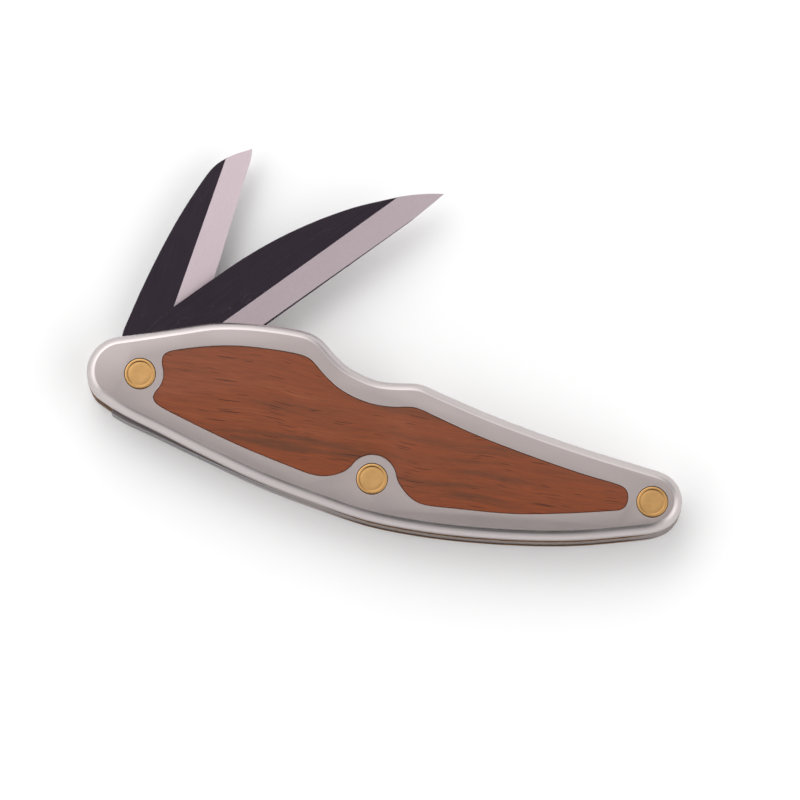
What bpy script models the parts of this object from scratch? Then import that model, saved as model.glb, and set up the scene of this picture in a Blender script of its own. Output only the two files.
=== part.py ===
"""Two-blade whittling jack knife, lying on its back scale with both blades half open.

The drawing plane is XY and the knife's thickness runs along +Z. The origin is on the blade pivot,
at the height of the resting face. +X points at the tail rivet and +Y at the open side of the handle,
where the blades come out. Sizes are in millimetres and become metres when a mesh is made.
"""

import math

import bmesh
import bpy
import numpy as np
from mathutils import Matrix, Vector

MM = 0.001

# ---- Driving dimensions ----------------------------------------------------------------------

HANDLE_LENGTH = 108.1
SCALE_THICKNESS = 3.3
LINER_THICKNESS = 0.45
LINER_PROUD = 0.2
DIVIDER_THICKNESS = 0.45
BLADE_THICKNESS = 2.0
CHAMFER_WIDTH = 1.5
CHAMFER_HEIGHT = 2.4

INLAY_THICKNESS = 1.5
INLAY_RECESS = 0.15
PIVOT_LAND = 4.25
SPRING_LAND = 4.4

RIVET_HEAD_RADIUS = 2.72
RIVET_HEAD_THICKNESS = 1.0
RIVET_SLEEVE_RADIUS = 1.75
RIVET_POST_RADIUS = 1.2

LARGE_BLADE_REACH = 63.0
SMALL_BLADE_REACH = 45.8
TANG_RADIUS = 5.0
CUTTING_EDGE_THICKNESS = 0.1

SPRING_DEPTH = 3.0
SPRING_LOBE_RADIUS = 3.6
SPRING_SPLIT_MARGIN = 2.25
SPRING_END_X = -3.1

LARGE_BLADE_ANGLE = 50.3
SMALL_BLADE_ANGLE = 87.5
LARGE_BLADE_OPEN_ANGLE = 188.8
SMALL_BLADE_OPEN_ANGLE = 197.0
SPRING_LIFT_ANGLE = 0.8

# ---- Clearances ------------------------------------------------------------------------------

LAYER_GAP = 0.05
BORE_GAP = 0.05
HEAD_GAP = 0.1
POCKET_GAP = 0.08
TANG_GAP = 0.12
END_GAP = 0.15
SPLIT_GAP = 0.1

# ---- Drawn shapes ----------------------------------------------------------------------------

# Handle shapes are drawn at this length and scaled to HANDLE_LENGTH.
DRAWN_HANDLE_LENGTH = 108.1

FRONT_END = (-3.2, -0.25)
FRONT_END_RADIUS = 6.4
TAIL_END = (93.05, 0.3)
TAIL_END_RADIUS = 5.45
SPRING_RIVET = (44.35, -8.14)
TAIL_RIVET = (93.2, 0.0)

# Open side of the handle, from the front end to the tail, with the finger notch in its middle.
OPEN_SIDE = (
    (-2.25, 7.0), (4.78, 9.94), (10.06, 12.13), (14.74, 13.37), (19.84, 14.2), (24.72, 14.66),
    (27.42, 14.64), (29.74, 13.87), (31.86, 12.38), (34.88, 10.54), (37.88, 9.67), (41.1, 9.25),
    (44.38, 9.72), (48.28, 10.54), (51.88, 9.99), (59.9, 8.6), (69.92, 7.32), (79.92, 6.45),
)
# Back of the handle, from the tail to the front end.
BACK_SIDE = (
    (95.03, -4.86), (90.04, -6.78), (82.55, -9.36), (75.07, -11.33), (65.08, -13.31), (55.09, -14.67),
    (45.09, -15.18), (35.08, -14.37), (25.08, -13.15), (15.07, -11.18), (5.05, -8.9), (-1.98, -7.3),
)
INLAY_OPEN_SIDE = (
    (3.08, 3.74), (3.32, 4.5), (3.97, 5.06), (9.96, 7.49), (14.95, 8.9), (19.94, 9.71),
    (24.44, 10.15), (27.14, 10.2), (28.74, 9.81), (30.95, 8.2), (33.96, 6.37), (37.47, 5.21),
    (41.47, 4.76), (44.97, 5.16), (48.66, 6.02), (51.97, 5.46), (59.98, 3.95), (69.98, 2.68),
    (79.99, 1.77), (86.99, 1.42),
)
INLAY_TAIL = ((87.99, 1.16), (88.7, 0.3), (88.96, -1.11), (88.51, -2.43))
INLAY_BACK_RIGHT = (
    (87.34, -3.02), (80.06, -5.32), (70.1, -7.98), (60.12, -9.57), (54.72, -10.29), (53.12, -10.19),
    (51.1, -9.32), (49.4, -7.93),
)
INLAY_BACK_LEFT = (
    (39.35, -7.94), (38.05, -8.85), (36.36, -9.61), (34.06, -9.94), (30.06, -9.51), (20.05, -8.04),
    (10.03, -5.97), (5.03, -4.76), (3.93, -4.3), (3.27, -3.59),
)
# Slot end in the springs, from the middle of the handle up to the open side.
SLOT_END = ((60.06, -10.02), (68.05, -8.4), (74.03, -5.67), (78.01, -1.62), (80.58, 3.04))
SLOT_END_X = 81.6

# Blades are drawn with the pivot at (0, 0) and the cutting edge parallel to +X, below it.
LARGE_EDGE_Y = -5.34
LARGE_BEVEL_Y = -0.67
LARGE_EDGE_END = 55.4
LARGE_SPINE = (
    (63.0, -4.83), (61.05, -3.42), (57.35, -1.24), (52.2, 1.06), (49.05, 2.36), (43.3, 4.12),
    (37.15, 5.49), (31.8, 6.28), (26.1, 6.72), (21.05, 6.82), (15.3, 6.86), (9.0, 6.77),
)
SMALL_EDGE_Y = -6.92
SMALL_BEVEL_Y = -2.15
SMALL_EDGE_END = 44.25
SMALL_SPINE = (
    (45.8, -6.59), (45.35, -6.01), (43.95, -4.13), (42.25, -2.27), (40.8, -1.13), (39.05, -0.34),
    (36.5, 0.49), (30.15, 2.23), (22.3, 3.8), (15.15, 4.87), (9.2, 5.53), (6.9, 5.73),
)
# Where the two bevels and the sharpened edge end, next to the tang.
HEEL_X = 9.0
PLUNGE_X = 8.2
# The kick is the corner that meets the spring of a shut blade. The choil is the nick after it.
KICK_ANGLE = -68.0
KICK = (5.4, -4.9)
CHOIL = (7.4, -4.4)
SHOULDER_DROP = 0.15

# The split between a spring's arm and base starts at this angle round the spring rivet.
SPLIT_TOP_ANGLE = -14.0
BACK_CORNER = 0.2
# The arm is straight for this length under the tang, then at full depth at these places.
ARM_SEAT_LENGTH = 7.0
ARM_SHANK_X = (16.0, 25.0, 33.0)
# Where the arm's inner side meets its round lobe, measured from the lobe's two ends.
ARM_LEFT_FOOT = (-2.0, -2.6)
ARM_RIGHT_FOOT_RISE = 1.0
# Height difference over this stretch of the back gives the slope of the spring under the tang.
SEAT_SLOPE_X = (-2.0, 4.0)
# Outline points nearer than this to a corner are dropped.
CORNER_CLEARANCE = 0.3

# Outline points below this height belong to the back of the handle.
BACK_SIDE_TOP_Y = -2.0
# The liners stand proud of the back between the inner two of these and are flush by the outer two.
PROUD_X = (36.0, 46.0, 90.0, 96.0)
BORE_OVERRUN = 1.0

ROUND_SEGMENTS = 48
CURVE_STEP = 1.2

# ---- Values worked out from the above --------------------------------------------------------

HANDLE_SCALE = HANDLE_LENGTH / DRAWN_HANDLE_LENGTH
BORE_RADIUS = RIVET_SLEEVE_RADIUS + BORE_GAP
PIVOT_POINT = (0.0, 0.0)
SPRING_POINT = tuple(HANDLE_SCALE * value for value in SPRING_RIVET)
TAIL_POINT = tuple(HANDLE_SCALE * value for value in TAIL_RIVET)
RIVET_POINTS = {"pivot": PIVOT_POINT, "spring": SPRING_POINT, "tail": TAIL_POINT}

# The layers from the resting face upwards.
LAYERS = (
    ("back_scale", SCALE_THICKNESS),
    ("back_liner", LINER_THICKNESS),
    ("small_layer", BLADE_THICKNESS),
    ("centre_divider", DIVIDER_THICKNESS),
    ("large_layer", BLADE_THICKNESS),
    ("front_liner", LINER_THICKNESS),
    ("front_scale", SCALE_THICKNESS),
)
TOTAL_THICKNESS = sum(thickness for _, thickness in LAYERS) + LAYER_GAP * (len(LAYERS) - 1)

# Colour, metallic and roughness of each material.
MATERIALS = {
    "aluminium": ((0.44, 0.40, 0.40), 1.0, 0.42),
    "rosewood": ((0.25, 0.08, 0.04), 0.0, 0.45),
    "brass": ((0.61, 0.36, 0.12), 1.0, 0.3),
    "blade_steel": ((0.10, 0.09, 0.10), 1.0, 0.2),
    "spring_steel": ((0.24, 0.22, 0.23), 1.0, 0.35),
}


def layer_levels():
    """Bottom and top height of each layer."""
    levels = {}
    height = 0.0
    for name, thickness in LAYERS:
        levels[name] = (height, height + thickness)
        height += thickness + LAYER_GAP
    return levels


# ---- Outlines --------------------------------------------------------------------------------


def arc(centre, radius, start, end, step=CURVE_STEP):
    """Points along an arc, from one angle in degrees to another."""
    count = max(4, int(abs(math.radians(end - start)) * radius / step) + 1)
    angles = np.radians(np.linspace(start, end, count))
    return [(centre[0] + radius * math.cos(a), centre[1] + radius * math.sin(a)) for a in angles]


def smooth(knots, step=CURVE_STEP):
    """Points along a centripetal Catmull-Rom curve through the knots."""
    knots = [np.array(knot, float) for knot in knots]
    ends = [2 * knots[0] - knots[1], *knots, 2 * knots[-1] - knots[-2]]
    points = []
    for before, start, end, after in zip(ends, ends[1:], ends[2:], ends[3:]):
        first, second, third = (
            math.sqrt(np.linalg.norm(b - a)) for a, b in ((before, start), (start, end), (end, after))
        )
        middle = (end - start) / second
        leave = (start - before) / first - (end - before) / (first + second) + middle
        arrive = middle - (after - start) / (second + third) + (after - end) / third
        count = max(2, int(np.linalg.norm(end - start) / step))
        for t in np.arange(count) / count:
            points.append(
                (2 * t**3 - 3 * t**2 + 1) * start
                + (t**3 - 2 * t**2 + t) * second * leave
                + (3 * t**2 - 2 * t**3) * end
                + (t**3 - t**2) * second * arrive
            )
    points.append(knots[-1])
    return [tuple(point) for point in points]


def scaled(points, factor=HANDLE_SCALE):
    return [(factor * x, factor * y) for x, y in points]


def offset(outline, distance):
    """The closed outline moved outward by a distance, or inward where it is negative."""
    points = np.array(outline)
    chord = np.roll(points, -1, axis=0) - np.roll(points, 1, axis=0)
    normals = np.stack([chord[:, 1], -chord[:, 0]], axis=1)
    normals /= np.linalg.norm(normals, axis=1, keepdims=True)
    following = np.roll(points, -1, axis=0)
    area = np.sum(points[:, 0] * following[:, 1] - points[:, 1] * following[:, 0])
    return [tuple(point) for point in points + distance * math.copysign(1, area) * normals]


def tail_arc():
    return arc(TAIL_END, TAIL_END_RADIUS, 90, -45)


def front_arc():
    return arc(FRONT_END, FRONT_END_RADIUS, 235, 120)


def back_curve():
    """The back of the handle, from the tail to the front end."""
    return scaled(smooth([tail_arc()[-1], *BACK_SIDE, front_arc()[0]]))


def open_curve():
    """The open side of the handle, from the front end to the tail."""
    return scaled(smooth([front_arc()[-1], *OPEN_SIDE, tail_arc()[0]]))


def handle_outline():
    """Outline of the scales, the liners and the divider, clockwise from the tail."""
    ends = scaled(tail_arc()[:-1]), scaled(front_arc()[:-1])
    return ends[0] + back_curve()[:-1] + ends[1] + open_curve()[:-1]


def inlay_outline():
    """Outline of the wood, with lands of bare metal left round the pivot and the spring rivet."""
    open_side = smooth(scaled(INLAY_OPEN_SIDE + INLAY_TAIL + INLAY_BACK_RIGHT[:1]))
    back_right = smooth(scaled(INLAY_BACK_RIGHT))
    spring_land = arc(SPRING_POINT, SPRING_LAND, 15, 165)
    back_left = smooth(scaled(INLAY_BACK_LEFT))
    pivot_land = arc(PIVOT_POINT, PIVOT_LAND, -38, 38)
    return open_side[:-1] + back_right + spring_land + back_left + pivot_land


def back_height(x):
    """Height of the handle's back at one X position."""
    xs, ys = zip(*sorted(back_curve()))
    return float(np.interp(x, xs, ys))


def liner_outline():
    """The handle's outline, standing proud along the back between the spring rivet and the tail."""
    outline = handle_outline()
    raised = offset(outline, LINER_PROUD)
    stations = [HANDLE_SCALE * x for x in PROUD_X]
    mixed = []
    for (x, y), (raised_x, raised_y) in zip(outline, raised):
        share = float(np.interp(x, stations, (0.0, 1.0, 1.0, 0.0)))
        if y > BACK_SIDE_TOP_Y:
            share = 0.0
        mixed.append((x + share * (raised_x - x), y + share * (raised_y - y)))
    return mixed


def split_arc(clearance, upward):
    """The arc round the spring rivet where a spring's arm meets its base."""
    depth = SPRING_POINT[1] - back_height(SPRING_POINT[0])
    radius = depth + SPRING_SPLIT_MARGIN + clearance
    angles = np.arange(-80.0, SPLIT_TOP_ANGLE, 0.25)
    heights = [SPRING_POINT[1] + radius * math.sin(math.radians(a)) for a in angles]
    reach = [SPRING_POINT[0] + radius * math.cos(math.radians(a)) for a in angles]
    inside = [a for a, x, y in zip(angles, reach, heights) if y > back_height(x) + BACK_CORNER]
    ends = (inside[0], SPLIT_TOP_ANGLE) if upward else (SPLIT_TOP_ANGLE, inside[0])
    return arc(SPRING_POINT, radius, *ends)


def spring_end():
    """Inner and outer corner of a flush spring's free end, and the line of the spring under the tang."""
    start, end = SEAT_SLOPE_X
    slope = math.atan2(back_height(end) - back_height(start), end - start)
    along = Vector((math.cos(slope), math.sin(slope)))
    seat = Vector((along.y, -along.x)) * (TANG_RADIUS + TANG_GAP)
    inner = seat + along * (SPRING_END_X - seat.x) / along.x
    outer_x = SPRING_END_X + 0.5 * along.y * SPRING_DEPTH
    return inner, Vector((outer_x, back_height(outer_x))), along


def spring_arm_outline():
    """Free arm of a flush backspring, from its end at the tang to just past the spring rivet."""
    inner_end, outer_end, along = spring_end()
    under_tang = inner_end + along * ARM_SEAT_LENGTH
    shank = [(x, back_height(x) + SPRING_DEPTH) for x in np.array(ARM_SHANK_X) * HANDLE_SCALE]
    lobe = arc(SPRING_POINT, SPRING_LOBE_RADIUS, 165, 10)
    split = split_arc(0.0, upward=False)
    left_foot = (lobe[0][0] + ARM_LEFT_FOOT[0], lobe[0][1] + ARM_LEFT_FOOT[1])
    right_foot = (0.5 * (lobe[-1][0] + split[0][0]), split[0][1] + ARM_RIGHT_FOOT_RISE)
    inner = smooth([inner_end, under_tang, *shank, left_foot, lobe[0]])[:-1] + lobe[:-1]
    inner += smooth([lobe[-1], right_foot, split[0]])[:-1]
    foot = (split[-1][0] - BACK_CORNER, back_height(split[-1][0] - BACK_CORNER))
    last_x = foot[0] - CORNER_CLEARANCE
    outer = [point for point in back_curve() if outer_end.x < point[0] < last_x]
    return inner + split + [foot] + outer + [tuple(outer_end)]


def spring_base_outline():
    """Fixed part of a backspring, from the split round the spring rivet to the tail."""
    split = split_arc(SPLIT_GAP, upward=True)
    slot_x = SLOT_END_X * HANDLE_SCALE
    slot_top = (slot_x, float(np.interp(slot_x, *zip(*open_curve()))))
    slot_end = smooth([split[-1], *scaled(SLOT_END), slot_top])
    open_side = [point for point in open_curve()[:-1] if point[0] > slot_x + CORNER_CLEARANCE]
    foot = (split[0][0] - BACK_CORNER, back_height(split[0][0] - BACK_CORNER))
    back = [point for point in back_curve() if point[0] > foot[0] + CORNER_CLEARANCE]
    return split[:-1] + slot_end + open_side + scaled(tail_arc()[:-1]) + back + [foot]


def blade_outline(edge_y, edge_end, spine, reach, open_angle):
    """Outline of a blade: a round tang, a shoulder that meets the spring's end, and the blade itself."""
    stretch = (reach - HEEL_X) / (spine[0][0] - HEEL_X)
    profile = [(HEEL_X + (x - HEEL_X) * stretch, y) for x, y in spine]
    edge_tip = (HEEL_X + (edge_end - HEEL_X) * stretch, edge_y)
    turn = Matrix.Rotation(math.radians(-open_angle), 2)
    inner, outer, along = (turn @ vector for vector in spring_end())
    face = (outer - inner).normalized()
    nearest = inner - along * END_GAP
    aside = nearest - face * nearest.dot(face)
    base = aside + face * math.sqrt(TANG_RADIUS**2 - aside.length_squared)
    top = outer - along * END_GAP - face * SHOULDER_DROP
    tang_start = math.degrees(math.atan2(base.y, base.x))
    tang = arc(PIVOT_POINT, TANG_RADIUS, tang_start, 360.0 + KICK_ANGLE, 0.5 * CURVE_STEP)
    belly = smooth([edge_tip, profile[0]])
    back = smooth([*profile, tuple(top)])
    return [*tang, KICK, CHOIL, (HEEL_X, edge_y), *belly[:-1], *back]


# ---- Meshes ----------------------------------------------------------------------------------


def link(obj, collection):
    collection.objects.link(obj)
    return obj


def plate(name, outline, thickness):
    """A flat mesh object of one outline, centred on its own XY plane."""
    curve = bpy.data.curves.new(name, "CURVE")
    curve.dimensions = "2D"
    curve.fill_mode = "BOTH"
    curve.extrude = 0.5 * thickness * MM
    spline = curve.splines.new("POLY")
    spline.points.add(len(outline) - 1)
    for point, (x, y) in zip(spline.points, outline):
        point.co = (x * MM, y * MM, 0.0, 1.0)
    spline.use_cyclic_u = True
    holder = link(bpy.data.objects.new(name + "_curve", curve), bpy.context.scene.collection)
    graph = bpy.context.evaluated_depsgraph_get()
    mesh = bpy.data.meshes.new_from_object(holder.evaluated_get(graph))
    bpy.data.objects.remove(holder)
    weld(mesh)
    mesh.name = name
    return bpy.data.objects.new(name, mesh)


def weld(mesh):
    bm = bmesh.new()
    bm.from_mesh(mesh)
    bmesh.ops.remove_doubles(bm, verts=bm.verts, dist=0.001 * MM)
    bmesh.ops.recalc_face_normals(bm, faces=bm.faces)
    bm.to_mesh(mesh)
    bm.free()


def loft(name, sections):
    """A closed mesh object through sections of equal point count, each an (outline, height) pair."""
    bm = bmesh.new()
    rings = [[bm.verts.new((x * MM, y * MM, z * MM)) for x, y in outline] for outline, z in sections]
    for lower, upper in zip(rings, rings[1:]):
        for i in range(len(lower)):
            bm.faces.new((lower[i - 1], lower[i], upper[i], upper[i - 1]))
    bm.faces.new(rings[0])
    bm.faces.new(rings[-1])
    bmesh.ops.recalc_face_normals(bm, faces=bm.faces)
    mesh = bpy.data.meshes.new(name)
    bm.to_mesh(mesh)
    bm.free()
    return bpy.data.objects.new(name, mesh)


def turned(name, profile):
    """A turned object from (radius, height) points that run down its outer side from the axis."""
    mesh = bpy.data.meshes.new(name)
    points = [(radius * MM, 0.0, height * MM) for radius, height in profile]
    mesh.from_pydata(points, [(i, i + 1) for i in range(len(points) - 1)], [])
    obj = bpy.data.objects.new(name, mesh)
    screw = obj.modifiers.new("Screw", "SCREW")
    screw.steps = ROUND_SEGMENTS
    screw.render_steps = ROUND_SEGMENTS
    screw.use_merge_vertices = True
    screw.merge_threshold = 0.001 * MM
    return obj


def cylinder(name, centre, radius, bottom, top):
    """An upright cylinder used as a cutter."""
    bm = bmesh.new()
    middle = Matrix.Translation(Vector((centre[0], centre[1], 0.5 * (bottom + top))) * MM)
    bmesh.ops.create_cone(
        bm,
        cap_ends=True,
        segments=ROUND_SEGMENTS,
        radius1=radius * MM,
        radius2=radius * MM,
        depth=(top - bottom) * MM,
        matrix=middle,
    )
    mesh = bpy.data.meshes.new(name)
    bm.to_mesh(mesh)
    bm.free()
    return bpy.data.objects.new(name, mesh)


def cut(obj, cutter, cutters):
    """Takes the cutter away from the object with a Boolean modifier."""
    link(cutter, cutters)
    cutter.hide_render = True
    cutter.display_type = "WIRE"
    boolean = obj.modifiers.new(cutter.name, "BOOLEAN")
    boolean.operation = "DIFFERENCE"
    boolean.solver = "EXACT"
    boolean.object = cutter


def material(name, kind):
    """A material of one kind for one sub-part."""
    colour, metallic, roughness = MATERIALS[kind]
    made = bpy.data.materials.new(f"{name}_{kind}")
    made.use_nodes = True
    shader = made.node_tree.nodes["Principled BSDF"]
    shader.inputs["Base Color"].default_value = (*colour, 1.0)
    shader.inputs["Metallic"].default_value = metallic
    shader.inputs["Roughness"].default_value = roughness
    return made


def finish(obj, kind, parts):
    """Links a sub-part and gives it its own material."""
    link(obj, parts)
    obj.data.materials.clear()
    obj.data.materials.append(material(obj.name, kind))
    return obj


# ---- Sub-parts -------------------------------------------------------------------------------


def bore(obj, name, radius, cutters, bottom, top):
    """Cuts the hole for one of the three rivets through a piece that lies between two heights."""
    ends = bottom - BORE_OVERRUN, top + BORE_OVERRUN
    cut(obj, cylinder(f"{obj.name}_{name}_bore", RIVET_POINTS[name], radius, *ends), cutters)


def make_scale(name, outward, levels, parts, cutters):
    """A handle scale with a chamfered rim, a pocket for its inlay and seats for the rivet heads."""
    inner, outer = levels[name] if outward > 0 else levels[name][::-1]
    outline = handle_outline()
    sections = (
        (outline, inner),
        (outline, outer - outward * CHAMFER_HEIGHT),
        (offset(outline, -CHAMFER_WIDTH), outer),
    )
    scale = loft(name, sections)
    floor = outer - outward * (INLAY_RECESS + INLAY_THICKNESS + POCKET_GAP)
    depth = abs(outer + outward - floor)
    pocket = plate(name + "_pocket", offset(inlay_outline(), POCKET_GAP), depth)
    pocket.location.z = 0.5 * (outer + outward + floor) * MM
    cut(scale, pocket, cutters)
    for rivet, point in RIVET_POINTS.items():
        seat = sorted((outer + outward, outer - outward * (RIVET_HEAD_THICKNESS + HEAD_GAP)))
        head = cylinder(f"{name}_{rivet}_seat", point, RIVET_HEAD_RADIUS + HEAD_GAP, *seat)
        cut(scale, head, cutters)
        bore(scale, rivet, BORE_RADIUS, cutters, *levels[name])
    finish(scale, "aluminium", parts)


def make_inlay(name, outward, levels, parts):
    """A wooden inlay that sits just below the face of its scale."""
    scale_bottom, scale_top = levels[name.replace("inlay", "scale")]
    outer = scale_top if outward > 0 else scale_bottom
    inlay = plate(name, inlay_outline(), INLAY_THICKNESS)
    inlay.location.z = (outer - outward * (INLAY_RECESS + 0.5 * INLAY_THICKNESS)) * MM
    finish(inlay, "rosewood", parts)


def make_liner(name, levels, parts, cutters):
    """A thin brass plate over the whole handle, between a scale and a blade or between the blades."""
    bottom, top = levels[name]
    outline = handle_outline() if name == "centre_divider" else liner_outline()
    liner = plate(name, outline, top - bottom)
    liner.location.z = 0.5 * (bottom + top) * MM
    for rivet in RIVET_POINTS:
        bore(liner, rivet, BORE_RADIUS, cutters, bottom, top)
    finish(liner, "brass", parts)


def make_rivet(name, parts):
    """A cutler's rivet: a post with the front head, in a sleeve with the back head."""
    x, y = RIVET_POINTS[name]
    head_top = TOTAL_THICKNESS - RIVET_HEAD_THICKNESS
    post_end = RIVET_HEAD_THICKNESS + 2 * HEAD_GAP
    sleeve_end = head_top - HEAD_GAP
    hole = RIVET_POST_RADIUS + BORE_GAP
    post = [
        (0.0, TOTAL_THICKNESS),
        (RIVET_HEAD_RADIUS, TOTAL_THICKNESS),
        (RIVET_HEAD_RADIUS, head_top),
        (RIVET_POST_RADIUS, head_top),
        (RIVET_POST_RADIUS, post_end),
        (0.0, post_end),
    ]
    sleeve = [
        (0.0, RIVET_HEAD_THICKNESS + HEAD_GAP),
        (hole, RIVET_HEAD_THICKNESS + HEAD_GAP),
        (hole, sleeve_end),
        (RIVET_SLEEVE_RADIUS, sleeve_end),
        (RIVET_SLEEVE_RADIUS, RIVET_HEAD_THICKNESS),
        (RIVET_HEAD_RADIUS, RIVET_HEAD_THICKNESS),
        (RIVET_HEAD_RADIUS, 0.0),
        (0.0, 0.0),
    ]
    for half, profile in (("post", post), ("sleeve", sleeve)):
        rivet = turned(f"{name}_rivet_{half}", profile)
        rivet.location = (x * MM, y * MM, 0.0)
        finish(rivet, "brass", parts)


def bevel_cutter(name, bevel_y, edge_y, side, reach):
    """A slab whose face is one ground bevel, from the bevel line down past the cutting edge."""
    rise = 0.5 * (BLADE_THICKNESS - CUTTING_EDGE_THICKNESS)
    angle = math.atan2(rise, bevel_y - edge_y)
    length, width, depth = reach, 2.0 * (bevel_y - edge_y), BLADE_THICKNESS
    middle = Vector((0.5 * length, -0.5 * width, 0.5 * side * depth))
    bm = bmesh.new()
    bmesh.ops.create_cube(bm, size=1.0)
    bmesh.ops.scale(bm, vec=Vector((length, width, depth)) * MM, verts=bm.verts)
    bmesh.ops.translate(bm, vec=middle * MM, verts=bm.verts)
    mesh = bpy.data.meshes.new(name)
    bm.to_mesh(mesh)
    bm.free()
    slab = bpy.data.objects.new(name, mesh)
    slab.rotation_euler.x = side * angle
    slab.location = Vector((PLUNGE_X, bevel_y, 0.5 * side * BLADE_THICKNESS)) * MM
    return slab


def make_blade(name, layer, angle, outline, bevel_y, edge_y, reach, levels, parts, cutters):
    """A blade turned about the pivot, ground to a V from its bevel line to its edge."""
    bottom, top = levels[layer]
    blade = plate(name, outline, top - bottom)
    blade.location.z = 0.5 * (bottom + top) * MM
    blade.rotation_euler.z = math.radians(angle)
    for face, side in (("front", 1), ("back", -1)):
        slab = bevel_cutter(f"{name}_{face}_bevel", bevel_y, edge_y, side, reach)
        slab.parent = blade
        cut(blade, slab, cutters)
    bore(blade, "pivot", BORE_RADIUS, cutters, bottom, top)
    finish(blade, "blade_steel", parts)


def make_spring(name, layer, levels, parts, cutters):
    """A backspring in two nodes: the arm flexes about the spring rivet, the base is held at the tail."""
    bottom, top = levels[layer]
    middle = 0.5 * (bottom + top)
    arm_outline = [(x - SPRING_POINT[0], y - SPRING_POINT[1]) for x, y in spring_arm_outline()]
    arm = plate(name + "_arm", arm_outline, top - bottom)
    arm.location = Vector((*SPRING_POINT, middle)) * MM
    arm.rotation_euler.z = math.radians(SPRING_LIFT_ANGLE)
    bore(arm, "spring", BORE_RADIUS, cutters, bottom, top)
    finish(arm, "spring_steel", parts)
    base = plate(name + "_base", spring_base_outline(), top - bottom)
    base.location.z = middle * MM
    bore(base, "tail", BORE_RADIUS, cutters, bottom, top)
    finish(base, "spring_steel", parts)


def clear_scene():
    for obj in list(bpy.data.objects):
        bpy.data.objects.remove(obj)


def main():
    clear_scene()
    parts = bpy.data.collections.new("whittling_knife")
    cutters = bpy.data.collections.new("cutters")
    cutters.hide_render = True
    for collection in (parts, cutters):
        bpy.context.scene.collection.children.link(collection)
    levels = layer_levels()
    for side, outward in (("front", 1), ("back", -1)):
        make_scale(f"{side}_scale", outward, levels, parts, cutters)
        make_inlay(f"{side}_inlay", outward, levels, parts)
        make_liner(f"{side}_liner", levels, parts, cutters)
    make_liner("centre_divider", levels, parts, cutters)
    for rivet in RIVET_POINTS:
        make_rivet(rivet, parts)
    large = blade_outline(
        LARGE_EDGE_Y, LARGE_EDGE_END, LARGE_SPINE, LARGE_BLADE_REACH, LARGE_BLADE_OPEN_ANGLE
    )
    small = blade_outline(
        SMALL_EDGE_Y, SMALL_EDGE_END, SMALL_SPINE, SMALL_BLADE_REACH, SMALL_BLADE_OPEN_ANGLE
    )
    make_blade(
        "large_blade", "large_layer", LARGE_BLADE_ANGLE, large, LARGE_BEVEL_Y, LARGE_EDGE_Y,
        LARGE_BLADE_REACH, levels, parts, cutters,
    )
    make_blade(
        "small_blade", "small_layer", SMALL_BLADE_ANGLE, small, SMALL_BEVEL_Y, SMALL_EDGE_Y,
        SMALL_BLADE_REACH, levels, parts, cutters,
    )
    make_spring("large_spring", "large_layer", levels, parts, cutters)
    make_spring("small_spring", "small_layer", levels, parts, cutters)


main()
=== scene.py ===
"""Finished look of a two-blade whittling knife: scales, inlays, rivets, liners, blades, backsprings and studio."""

import math

import bmesh
import bpy
import numpy as np
from bpy.props import FloatProperty, FloatVectorProperty, IntProperty, PointerProperty
from mathutils import Matrix, Vector


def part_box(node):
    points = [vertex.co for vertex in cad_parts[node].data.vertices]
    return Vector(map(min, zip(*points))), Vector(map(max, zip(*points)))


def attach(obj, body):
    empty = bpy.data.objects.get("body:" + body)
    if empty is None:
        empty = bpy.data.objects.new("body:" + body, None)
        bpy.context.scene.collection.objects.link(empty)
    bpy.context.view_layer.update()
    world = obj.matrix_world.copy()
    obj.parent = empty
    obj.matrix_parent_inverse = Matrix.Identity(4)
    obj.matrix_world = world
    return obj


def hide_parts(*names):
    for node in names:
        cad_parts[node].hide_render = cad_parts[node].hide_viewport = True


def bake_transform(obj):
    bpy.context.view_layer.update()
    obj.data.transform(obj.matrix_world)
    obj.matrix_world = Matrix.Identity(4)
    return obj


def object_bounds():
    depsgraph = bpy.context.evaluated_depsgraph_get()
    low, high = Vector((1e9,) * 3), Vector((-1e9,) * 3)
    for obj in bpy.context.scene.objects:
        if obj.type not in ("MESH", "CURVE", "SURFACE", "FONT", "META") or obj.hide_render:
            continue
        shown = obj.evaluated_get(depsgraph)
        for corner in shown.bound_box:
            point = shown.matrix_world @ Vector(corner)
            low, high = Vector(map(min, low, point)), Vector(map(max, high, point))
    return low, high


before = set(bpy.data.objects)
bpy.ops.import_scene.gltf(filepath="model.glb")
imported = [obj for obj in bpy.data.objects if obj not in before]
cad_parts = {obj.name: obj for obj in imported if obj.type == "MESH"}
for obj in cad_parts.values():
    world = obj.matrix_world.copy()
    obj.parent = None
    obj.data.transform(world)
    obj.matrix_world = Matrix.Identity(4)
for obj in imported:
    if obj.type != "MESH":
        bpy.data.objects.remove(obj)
CAD_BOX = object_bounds()

bl_info = {
    "name": "Whittling Knife",
    "version": (1, 0, 0),
    "blender": (4, 5, 0),
    "location": "View3D > Sidebar > Whittling Knife",
    "description": "Builds the finished pieces of a folding whittling knife round its packed frame",
    "category": "Object",
}

MM = 0.001
# Vertices nearer than this are one.
WELD = 0.001 * MM
# How far a cutter sticks out of what it cuts.
OVERCUT = 1.0 * MM
# Ground faces: cross-sections of a cutter, its depth, and how far it overruns the face.
GRIND_STATIONS = 16
CUTTER_DEPTH = 4.0 * MM
GRIND_OVERRUN = 0.8 * MM
# Radius of the holes for the rivets, a little over that of their shafts.
BORE_RADIUS = 1.8 * MM
# Rivet seats: how far they clear the head, how deep they are, and their broken edge.
SEAT_GAP = 0.1 * MM
SEAT_DEPTH = 1.1 * MM
SEAT_BREAK = 0.04 * MM
# Depth of an inlay's pocket below the top of the wood.
POCKET_DEPTH = 1.6 * MM
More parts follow.
